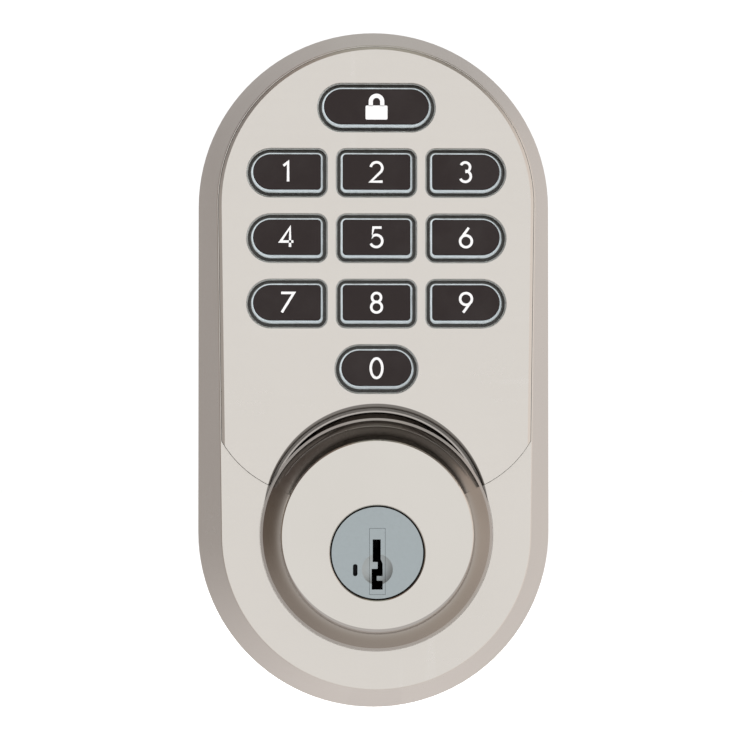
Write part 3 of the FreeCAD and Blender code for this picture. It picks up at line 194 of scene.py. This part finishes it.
def makeMoulded():
    # moulded plastic and rubber: spark-eroded skin with a little tone drift and dust
    group, start, end = newGroup("mouldedSkin", [
        ("Tone", colorKind, (0.1, 0.1, 0.1, 1.0)), ("Dust Tone", colorKind, (0.5, 0.5, 0.48, 1.0)),
        ("Dust", floatKind, 0.1), ("Gloss Low", floatKind, 0.4), ("Gloss High", floatKind, 0.5),
        ("Grain Scale", floatKind, 3000.0)],
        [("Color", colorKind), ("Roughness", floatKind), ("Height", floatKind)])
    place = addNode(group, "ShaderNodeTexCoord").outputs["Object"]
    grain = noise(group, place, start.outputs["Grain Scale"], 2.0, 0.6)
    drift = noise(group, place, 120.0, 4.0, 0.6)
    dust = maths(group, "MULTIPLY", remap(group, drift, 0.45, 0.8, 0.0, 1.0), start.outputs["Dust"])
    wire(group, tint(group, dust, start.outputs["Tone"], start.outputs["Dust Tone"]), end.inputs["Color"])
    rough = remap(group, maths(group, "MULTIPLY", maths(group, "ADD", grain, drift), 0.5), 0.35, 0.65,
                  start.outputs["Gloss Low"], start.outputs["Gloss High"])
    wire(group, rough, end.inputs["Roughness"])
    wire(group, grain, end.inputs["Height"])
    return group


def makePaintedHollowShade():
    # painted shade below the front face, darker with depth: 0 at depth Start, 1 at depth End, both along y in
    # metres
    group, start, end = newGroup("hollowGrime", [
        ("Start", floatKind, 0.0), ("End", floatKind, 0.001)], [("Painted Shade Mask", floatKind)])
    place = addNode(group, "ShaderNodeTexCoord").outputs["Object"]
    parts = addNode(group, "ShaderNodeSeparateXYZ")
    wire(group, place, parts.inputs[0])
    wander = maths(group, "MULTIPLY", noise(group, place, 700.0, 2.0, 0.5), 0.0003)
    deep = maths(group, "ADD", parts.outputs[1], wander)
    mask = remap(group, deep, start.outputs["Start"], start.outputs["End"], 0.0, 1.0)
    wire(group, mask, end.inputs["Painted Shade Mask"])
    return group


def makeTurnedZones():
    # zones round an axis that runs front to back: Outside is 1 beyond Radius, Bowl is a round dish within it
    group, start, end = newGroup("turnedZones", [
        ("Centre Height", floatKind, 0.0), ("Radius", floatKind, 0.01), ("Blend", floatKind, 0.0001)],
        [("Outside", floatKind), ("Bowl", floatKind)])
    parts = addNode(group, "ShaderNodeSeparateXYZ")
    wire(group, addNode(group, "ShaderNodeTexCoord").outputs["Object"], parts.inputs[0])
    rise = maths(group, "SUBTRACT", parts.outputs[2], start.outputs["Centre Height"])
    across = maths(group, "MULTIPLY", parts.outputs[0], parts.outputs[0])
    reach = maths(group, "SQRT", maths(group, "ADD", across, maths(group, "MULTIPLY", rise, rise)))
    edge = maths(group, "ADD", start.outputs["Radius"], start.outputs["Blend"])
    wire(group, remap(group, reach, start.outputs["Radius"], edge, 0.0, 1.0), end.inputs["Outside"])
    share = maths(group, "DIVIDE", reach, start.outputs["Radius"])
    dish = maths(group, "SUBTRACT", 1.0, maths(group, "MULTIPLY", share, share))
    wire(group, maths(group, "MAXIMUM", dish, 0.0), end.inputs["Bowl"])
    return group


platedGrain, handlingMarks, mouldedSkin = makePlatedGrain(), makeHandling(), makeMoulded()
hollowGrime, turnedZones = makePaintedHollowShade(), makeTurnedZones()
print("stage: shared effects built")


# finish helpers
def newMaterial(name):
    material = bpy.data.materials.new(name)
    material.use_nodes = True
    return material, material.node_tree, material.node_tree.nodes["Principled BSDF"]


def placeGroup(tree, group, values):
    node = addNode(tree, "ShaderNodeGroup", node_tree=group)
    for name, value in values.items():
        node.inputs[name].default_value = value
    return node


def addBump(tree, shader, height, strength, depth):
    bump = addNode(tree, "ShaderNodeBump")
    bump.inputs["Strength"].default_value = strength
    bump.inputs["Distance"].default_value = depth
    wire(tree, height, bump.inputs["Height"])
    if shader.inputs["Normal"].is_linked:
        wire(tree, shader.inputs["Normal"].links[0].from_socket, bump.inputs["Normal"])
    wire(tree, bump.outputs["Normal"], shader.inputs["Normal"])


def paintHollowShade(tree, look, color):
    if "hollow" not in look:
        return color
    # painted shade: the finish darkens towards the shade tone deeper than the front face
    grime = placeGroup(tree, hollowGrime, dict(zip(("Start", "End"), look["hollow"])))
    return tint(tree, grime.outputs["Painted Shade Mask"], color, look["grime"])


def zoneRound(tree, spot):
    # spot is the height and the radius of a round zone
    return placeGroup(tree, turnedZones, {"Centre Height": spot[0], "Radius": spot[1]})


handling = {"smudges": 0.3, "scratches": 0.2, "dulling": 0.06, "polish": 0.08, "bare": 0.25,
            "bareTone": (0.86, 0.85, 0.84, 1.0), "grainDepth": 0.00002}


def metal(name, look):
    # satin or machined plate, with smudges that dull it and hairlines that catch light
    material, tree, shader = newMaterial(name)
    shader.inputs["Metallic"].default_value = 1.0
    grain = placeGroup(tree, platedGrain, {
        "Tone": look["tone"], "Tone Shift": look.get("shift", 0.03), "Gloss Low": look["gloss"][0],
        "Gloss High": look["gloss"][1], "Streaks": look["streaks"]})
    marks = placeGroup(tree, handlingMarks, {
        "Smudges": handling["smudges"], "Scratches": look.get("scratches", handling["scratches"])})
    smudge, scratch = marks.outputs["Smudge Mask"], marks.outputs["Scratch Mask"]
    dulled = maths(tree, "ADD", grain.outputs["Roughness"],
                   maths(tree, "MULTIPLY", smudge, handling["dulling"]))
    wire(tree, maths(tree, "SUBTRACT", dulled, maths(tree, "MULTIPLY", scratch, handling["polish"])),
         shader.inputs["Roughness"])
    color = tint(tree, maths(tree, "MULTIPLY", scratch, handling["bare"]), grain.outputs["Color"],
                 handling["bareTone"])
    if "flank" in look:
        # painted dark reflection: beyond the flank radius the guard takes a darker tone
        color = tint(tree, zoneRound(tree, look["flank"]).outputs["Outside"], color, look["flankDarkReflection"])
    if "creviceShade" in look:
        # painted shade: inside the crevice circle the housing takes the dark shade tone
        color = tint(tree, zoneRound(tree, look["creviceShade"]).outputs["Outside"], look["grime"], color)
    wire(tree, paintHollowShade(tree, look, color), shader.inputs["Base Color"])
    addBump(tree, shader, grain.outputs["Height"], look.get("bump", 0.05), handling["grainDepth"])
    if "dish" in look:
        bowl = zoneRound(tree, look["dish"]).outputs["Bowl"]
        addBump(tree, shader, maths(tree, "MULTIPLY", bowl, -1.0), 1.0, look["dish"][2])
    return material


skinShared = {"dustTone": (0.5, 0.49, 0.47, 1.0), "grainDepth": 0.00003, "coatRough": 0.12}


def moulded(name, look):
    # moulded plastic, rubber, print and paper
    material, tree, shader = newMaterial(name)
    skin = placeGroup(tree, mouldedSkin, {
        "Tone": look["tone"], "Dust": look.get("dust", 0.06), "Dust Tone": skinShared["dustTone"],
        "Gloss Low": look["gloss"][0], "Gloss High": look["gloss"][1],
        "Grain Scale": look.get("grain", 3000.0)})
    wire(tree, paintHollowShade(tree, look, skin.outputs["Color"]), shader.inputs["Base Color"])
    wire(tree, skin.outputs["Roughness"], shader.inputs["Roughness"])
    addBump(tree, shader, skin.outputs["Height"], look.get("bump", 0.15), skinShared["grainDepth"])
    if "shine" in look:
        shader.inputs["Specular IOR Level"].default_value = look["shine"]
    if "coat" in look:
        shader.inputs["Coat Weight"].default_value = look["coat"]
        shader.inputs["Coat Roughness"].default_value = skinShared["coatRough"]
    return material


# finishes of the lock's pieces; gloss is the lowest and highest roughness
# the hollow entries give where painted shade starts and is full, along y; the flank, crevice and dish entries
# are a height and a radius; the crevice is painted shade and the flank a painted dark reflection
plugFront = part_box("key_plug")[0][1]
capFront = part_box("key_5_cap")[0][1]
guardLow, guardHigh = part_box("cylinder_guard")
guardMiddle = (guardLow[2] + guardHigh[2]) / 2
metalLooks = {
    "satin_nickel": {"tone": (0.76, 0.725, 0.68, 1.0), "gloss": (0.27, 0.36), "streaks": 0.35,
                     # painted shade in the crevice at the top of the guard
                     "creviceShade": (guardMiddle + 0.0025, 0.01995), "grime": (0.21, 0.195, 0.18, 1.0)},
    "guard_nickel": {"tone": (0.735, 0.705, 0.66, 1.0), "gloss": (0.12, 0.17), "streaks": 0.2,
                     # painted dark reflection on the guard's flank
                     "flank": (guardMiddle, 0.0168), "flankDarkReflection": (0.44, 0.41, 0.385, 1.0)},
    "plug_nickel": {"tone": (0.44, 0.495, 0.515, 1.0), "gloss": (0.36, 0.46), "streaks": 0.1, "bump": 0.12,
                    # painted shade inside the keyway, deeper than the plug front
                    "hollow": (plugFront + 0.0004, plugFront + 0.0011), "grime": (0.03, 0.03, 0.032, 1.0),
                    "dish": (-0.0029, 0.0027, 0.0005)},
    # painted shade: the cylinder ring round the plug is dark for the shade of its recess
    "brassPaintedShade": {"tone": (0.05, 0.045, 0.04, 1.0), "gloss": (0.4, 0.55), "streaks": 0.3,
                    "scratches": 0.05},
    "brass_part": {"tone": (0.74, 0.57, 0.28, 1.0), "gloss": (0.26, 0.38), "streaks": 0.7},
    "zinc_steel": {"tone": (0.62, 0.64, 0.66, 1.0), "gloss": (0.3, 0.44), "streaks": 0.5, "shift": 0.08},
    "spring_steel": {"tone": (0.52, 0.53, 0.55, 1.0), "gloss": (0.18, 0.3), "streaks": 0.8},
    "contact_gold": {"tone": (0.83, 0.64, 0.28, 1.0), "gloss": (0.2, 0.3), "streaks": 0.3}}
mouldedLooks = {
    "key_bezel": {"tone": (0.35, 0.395, 0.42, 1.0), "gloss": (0.22, 0.3), "bump": 0.08, "coat": 0.3,
                  # painted shade on the cap sides deep in the key openings
                  "hollow": (capFront + 0.0003, capFront + 0.0006), "grime": (0.07, 0.07, 0.062, 1.0)},
    "key_black": {"tone": (0.013, 0.0085, 0.0083, 1.0), "gloss": (0.34, 0.44), "bump": 0.1, "dust": 0.012,
                  "shine": 0.22},
    "black_rubber": {"tone": (0.018, 0.018, 0.019, 1.0), "gloss": (0.6, 0.78), "grain": 2200.0, "bump": 0.35},
    "silicone": {"tone": (0.7, 0.7, 0.68, 1.0), "gloss": (0.5, 0.62)},
    "board_green": {"tone": (0.02, 0.12, 0.045, 1.0), "gloss": (0.28, 0.36), "coat": 0.4},
    "tray_plastic": {"tone": (0.03, 0.03, 0.032, 1.0), "gloss": (0.45, 0.58)},
    "led_white": {"tone": (0.85, 0.83, 0.74, 1.0), "gloss": (0.2, 0.3)},
    "chip_black": {"tone": (0.02, 0.02, 0.022, 1.0), "gloss": (0.5, 0.6)},
    "header_white": {"tone": (0.8, 0.79, 0.74, 1.0), "gloss": (0.4, 0.5)}}
finishes = {name: metal(name, look) for name, look in metalLooks.items()}
finishes.update({name: moulded(name, look) for name, look in mouldedLooks.items()})
specialFinish = {"cylinder_body": "brassPaintedShade"}  # the ring round the plug is painted dark: painted shade of its deep recess
for name, node in frame["nodes"].items():
    for slot in node.material_slots:
        slot.material = finishes[specialFinish.get(name, slot.material.name.split(".")[0])]
print("stage: finishes assigned")


# printed legends, sizes in millimetres
legend = {"height": 3.9, "width": 2.5, "stroke": 0.45, "thick": 0.03, "sunk": 0.01, "layers": 6,
          "tone": (0.53, 0.525, 0.53, 1.0)}
halfTall = (legend["height"] - legend["stroke"]) / 2
halfWide = (legend["width"] - legend["stroke"]) / 2


def bow(x, z, radius, start, stop, tall=None, steps=40):
    # arc points round (x, z), angles in degrees from the right, anticlockwise when stop is larger
    turns = [math.radians(start + (stop - start) * i / steps) for i in range(steps + 1)]
    return [(x + radius * math.cos(turn), z + (tall or radius) * math.sin(turn)) for turn in turns]


def digitStrokes():
    top, side = halfTall, halfWide
    upper, lower = 0.44 * top * 1.1, 0.56 * top
    strokes = {
        "0": [bow(0, 0, side, 0, 360, top)],
        "1": [[(-0.62, 0.62 * top), (0.2, top), (0.2, -top)]],
        "2": [bow(0, top - side, side, 170, -38) + [(-side, -top), (side * 1.05, -top)]],
        "3": [bow(-0.1, top - upper, upper, 155, -90), bow(-0.1, lower - top, lower, 90, -155)],
        "4": [[(1.15, -0.45 * top), (-1.15, -0.45 * top), (0.55, top), (0.55, -top)]],
        "5": [[(0.9, top), (-0.55, top), (-0.78, 0.1)] + bow(-0.05, 1.07 - top, 1.07, 132, -155)],
        "6": [bow(0, 1.04 - top, 1.04, 0, 360), [(-0.93, 1.5 - top), (0.5, top)]],
        "7": [[(-side, top), (side * 1.2, top), (-0.9, -top)]],
        "8": [bow(0, top - 0.8, 0.8, 0, 360), bow(0, 0.94 - top, 0.94, 0, 360)]}
    strokes["9"] = [[(-x, -z) for x, z in line] for line in strokes["6"]]
    return strokes


def ribbon(mesh, line, width, front, back):
    # a flat bar of even width along the line; a line that ends where it starts is closed
    closed = math.dist(line[0], line[-1]) < 1e-6
    points = [Vector(point) for point in (line[:-1] if closed else line)]
    count = len(points)
    rings = []
    for i, point in enumerate(points):
        before = points[i - 1] if i or closed else point
        after = points[(i + 1) % count] if i < count - 1 or closed else point
        into = (point - before).normalized() if point != before else (after - point).normalized()
        out = (after - point).normalized() if point != after else into
        side = Vector((-(into + out).y, (into + out).x)).normalized()
        reach = width / 2 / max(side.dot(Vector((-out.y, out.x))), 0.5)
        rings.append([mesh.verts.new((x * mm, y * mm, z * mm)) for (x, z), y in (
            (point + side * reach, front), (point - side * reach, front),
            (point - side * reach, back), (point + side * reach, back))])
    for one, two in zip(rings, rings[1:] + (rings[:1] if closed else [])):
        for k in range(4):
            mesh.faces.new((one[k], one[(k + 1) % 4], two[(k + 1) % 4], two[k]))
    if not closed:
        mesh.faces.new(rings[0][::-1])
        mesh.faces.new(rings[-1])


def slab(mesh, outline, front, back):
    ends = [[mesh.verts.new((x * mm, y * mm, z * mm)) for x, z in outline] for y in (front, back)]
    mesh.faces.new(ends[0])
    mesh.faces.new(ends[1][::-1])
    for i in range(len(outline)):
        j = (i + 1) % len(outline)
        mesh.faces.new((ends[0][j], ends[0][i], ends[1][i], ends[1][j]))


def addPiece(name, mesh, material):
    bmesh.ops.recalc_face_normals(mesh, faces=mesh.faces)
    data = bpy.data.meshes.new(name)
    mesh.to_mesh(data)
    mesh.free()
    data.materials.append(material)
    piece = bpy.data.objects.new(name, data)
    bpy.context.scene.collection.objects.link(piece)
    return piece


padlock = {"bodyWide": 3.9, "bodyTall": 2.5, "corner": 0.25, "shackle": 0.75, "tall": 4.6,
           "loopShare": 0.26, "overlap": 0.1}


def drawPadlock(mesh, x, z, front, back):
    half, low = padlock["bodyWide"] / 2, z - padlock["tall"] / 2
    high, bend = low + padlock["bodyTall"], padlock["corner"]
    outline = []
    for cornerX, cornerZ, start in ((half, high, 0), (-half, high, 90), (-half, low, 180), (half, low, 270)):
        inX = x + cornerX - math.copysign(bend, cornerX)
        inZ = cornerZ - (bend if cornerZ == high else -bend)
        outline += bow(inX, inZ, bend, start, start + 90, steps=8)
    slab(mesh, outline, front, back)
    radius = padlock["bodyWide"] * padlock["loopShare"]
    spring = z + padlock["tall"] / 2 - padlock["shackle"] / 2 - radius
    foot = high - padlock["overlap"]
    ribbon(mesh, [(x + radius, foot)] + bow(x, spring, radius, 0, 180) + [(x - radius, foot)],
           padlock["shackle"], front, back)


legendInk = moulded("legendInk", {"tone": legend["tone"], "gloss": (0.4, 0.5), "dust": 0.02, "bump": 0.05})
digits = digitStrokes()
for body in [name for name in frame["bodies"] if name.startswith("key_")]:
    label = body.split("_")[1]
    low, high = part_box(f"key_{label}_face")
    middleX, middleZ = (low[0] + high[0]) / 2 / mm, (low[2] + high[2]) / 2 / mm
    back = low[1] / mm + legend["sunk"]
    front = low[1] / mm - legend["thick"]
    mesh = bmesh.new()
    if label == "lock":
        drawPadlock(mesh, middleX, middleZ, front, back)
    else:
        for layer, line in enumerate(digits[label]):
            # strokes that cross lie a hair apart in depth
            ribbon(mesh, [(x + middleX, z + middleZ) for x, z in line], legend["stroke"],
                   front + layer * legend["thick"] / legend["layers"], back)
    piece = addPiece(f"legend_{label}", mesh, legendInk)
    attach(piece, body)
print("stage: legends printed")


# floor, light and camera
studio = {"floorDrop": 0.09, "floorRadius": 4.0, "floorTone": (0.985, 0.985, 0.98, 1.0)}
mesh = bmesh.new()
bmesh.ops.create_circle(mesh, cap_ends=True, segments=96, radius=studio["floorRadius"])
floor = addPiece("studioFloor", mesh, moulded("paperFloor", {
    "tone": studio["floorTone"], "gloss": (0.8, 0.9), "dust": 0.0, "grain": 400.0, "bump": 0.02}))
floor.location.z = cadBox[0][2] - studio["floorDrop"]
floor.visible_glossy = False

world = bpy.data.worlds.new("studioRoom")
bpy.context.scene.world = world
world.use_nodes = True
room = world.node_tree
sky = room.nodes["Background"]
direction = addNode(room, "ShaderNodeTexCoord").outputs["Generated"]
parts = addNode(room, "ShaderNodeSeparateXYZ")
wire(room, direction, parts.inputs[0])
x, y, z = parts.outputs


def ramp(tree, value, stops):
    node = addNode(tree, "ShaderNodeValToRGB")
    bar = node.color_ramp
    bar.interpolation = "EASE"
    while len(bar.elements) < len(stops):
        bar.elements.new(0.5)
    for element, (spot, color) in zip(bar.elements, stops):
        element.position = spot
        element.color = (*color, 1.0)
    wire(tree, value, node.inputs["Fac"])
    return node.outputs["Color"]


around = maths(room, "ARCTAN2", x, z)  # 0 at the top, positive to the right, pi at the bottom
turn = remap(room, around, -math.pi, math.pi, 0.0, 1.0)
# tones of the room round the lock: 0 and 1 below, 0.25 left, 0.5 above, 0.75 right
roomTones = {"sides": [
    (0.0, (0.78, 0.74, 0.71)), (0.14, (0.6, 0.55, 0.52)), (0.25, (0.25, 0.205, 0.17)),
    (0.36, (0.09, 0.065, 0.06)),
    (0.43, (0.2, 0.14, 0.11)), (0.459, (0.26, 0.17, 0.12)), (0.468, (0.38, 0.38, 0.33)),
    (0.536, (0.38, 0.38, 0.33)),
    (0.543, (0.55, 0.46, 0.35)), (0.553, (0.16, 0.135, 0.11)), (0.6, (0.2, 0.18, 0.16)),
    (0.64, (0.42, 0.37, 0.33)), (0.667, (0.95, 0.84, 0.78)), (0.71, (0.85, 0.77, 0.71)),
    (0.76, (0.95, 0.87, 0.82)), (0.875, (0.85, 0.79, 0.74)), (1.0, (0.78, 0.74, 0.71))],
    "rear": [
    (0.0, (0.78, 0.73, 0.71)), (0.25, (0.44, 0.41, 0.395)), (0.5, (0.52, 0.5, 0.49)),
    (0.75, (0.66, 0.62, 0.6)),
    (1.0, (0.78, 0.73, 0.71))],
    "front": (0.95, 0.945, 0.94, 1.0), "plain": (1.06, 1.06, 1.06, 1.0),
    "rearReach": (0.6, 0.84), "frontReach": (-0.64, -0.88)}
toRear = remap(room, y, *roomTones["rearReach"], 0.0, 1.0)
toFront = remap(room, y, *roomTones["frontReach"], 0.0, 1.0)
allRound = tint(room, toRear, ramp(room, turn, roomTones["sides"]), ramp(room, turn, roomTones["rear"]))
allRound = tint(room, toFront, allRound, roomTones["front"])
lightPath = addNode(room, "ShaderNodeLightPath")  # only mirrored rays meet the toned room
wire(room, tint(room, lightPath.outputs["Is Glossy Ray"], roomTones["plain"], allRound), sky.inputs["Color"])


lampTone = (1.0, 0.985, 0.97)


def softbox(name, spot, aim, size, power):
    lamp = bpy.data.lights.new(name, "AREA")
    lamp.shape, lamp.size, lamp.energy, lamp.color = "DISK", size, power, lampTone
    holder = bpy.data.objects.new(name, lamp)
    holder.location = spot
    holder.rotation_euler = (Vector(aim) - Vector(spot)).to_track_quat("-Z", "Y").to_euler()
    holder.visible_glossy = False  # the room itself is what the nickel mirrors
    bpy.context.scene.collection.objects.link(holder)


middle = (0.0, -0.01, 0.03)
softbox("topBank", (-0.5, -0.7, 1.3), middle, 0.9, 26.0)
softbox("rearFill", (0.5, 1.1, 0.9), middle, 1.0, 16.0)

view = {"stand": (-0.011, -0.45, 0.0249), "aim": (-0.0004, 0.0, 0.0321), "lens": 117.4}
camera = bpy.data.objects.new("camera", bpy.data.cameras.new("camera"))
camera.data.lens = view["lens"]
camera.data.clip_start = 0.01
camera.location = view["stand"]
camera.rotation_euler = (Vector(view["aim"]) - Vector(view["stand"])).to_track_quat("-Z", "Y").to_euler()
bpy.context.scene.collection.objects.link(camera)
bpy.context.scene.camera = camera
bpy.context.scene.view_settings.view_transform = "Standard"
print("stage: studio ready")
